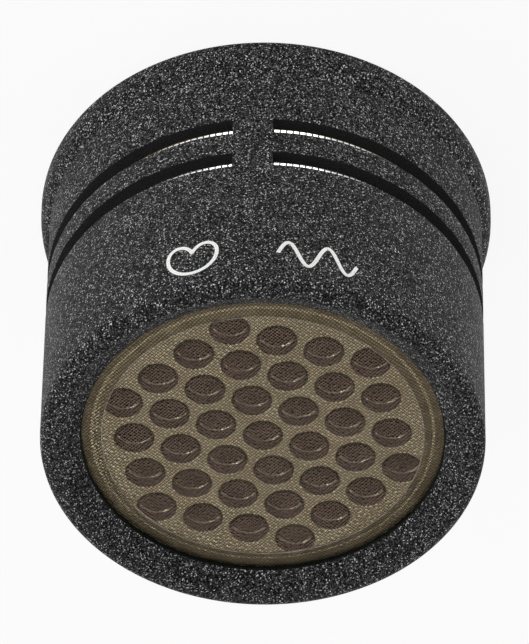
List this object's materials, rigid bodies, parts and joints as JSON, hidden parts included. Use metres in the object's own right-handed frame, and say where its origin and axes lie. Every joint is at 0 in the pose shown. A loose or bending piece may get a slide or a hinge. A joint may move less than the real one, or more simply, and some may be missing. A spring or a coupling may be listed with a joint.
{
  "type": "condenser microphone capsule",
  "caption": "Small round condenser microphone capsule with a gauze-covered perforated front, side slots for its cardioid pattern, and a rear thread with a centre contact.",
  "frame": {"origin": "centre of the rear rim's face, on the capsule's axis", "axes": "+Z along the axis toward the sound inlet; the +X and +Y directions are free, and one slot bridge lies 86 degrees clockwise from +X"},
  "size_m": [0.022, 0.022, 0.017],
  "materials": {
    "housing_paint": "fine textured paint",
    "gauze_bronze": "fine weave",
    "plate_brass": "satin",
    "turned_alloy": "turned",
    "turned_brass": "turned",
    "screw_steel": "satin",
    "gold_foil": "mirror-like",
    "clear_film": "gloss",
    "backplate_brass": "lapped",
    "gilded_brass": "polished",
    "cup_plastic": "moulded",
    "seal_rubber": "matt",
    "felt": "felted",
    "steel_gauze": "very fine weave",
    "bright_gauze": "bright weave",
    "black_plastic": "moulded"
  },
  "bodies": {
    "root": {"housing": "housing_paint", "front_gauze": "gauze_bronze", "perforated_plate": "plate_brass", "front_spacer": "turned_alloy", "diaphragm_ring": "turned_brass", "ring_screws": "screw_steel", "diaphragm": "gold_foil", "gap_ring": "clear_film", "backplate": "backplate_brass", "backplate_screw": "gilded_brass", "terminal_washer": "gilded_brass", "insulator_cup": "cup_plastic", "seal_ring": "seal_rubber", "damping_felt": "felt", "delay_plate": "turned_brass", "resistance_gauze": "steel_gauze", "slot_cage": "turned_alloy", "slot_gauze": "bright_gauze", "contact_spring": "gilded_brass", "contact_nut": "gilded_brass", "centre_contact": "gilded_brass", "rear_insulator": "black_plastic", "retaining_ring": "turned_brass"}
  },
  "joints": []
}
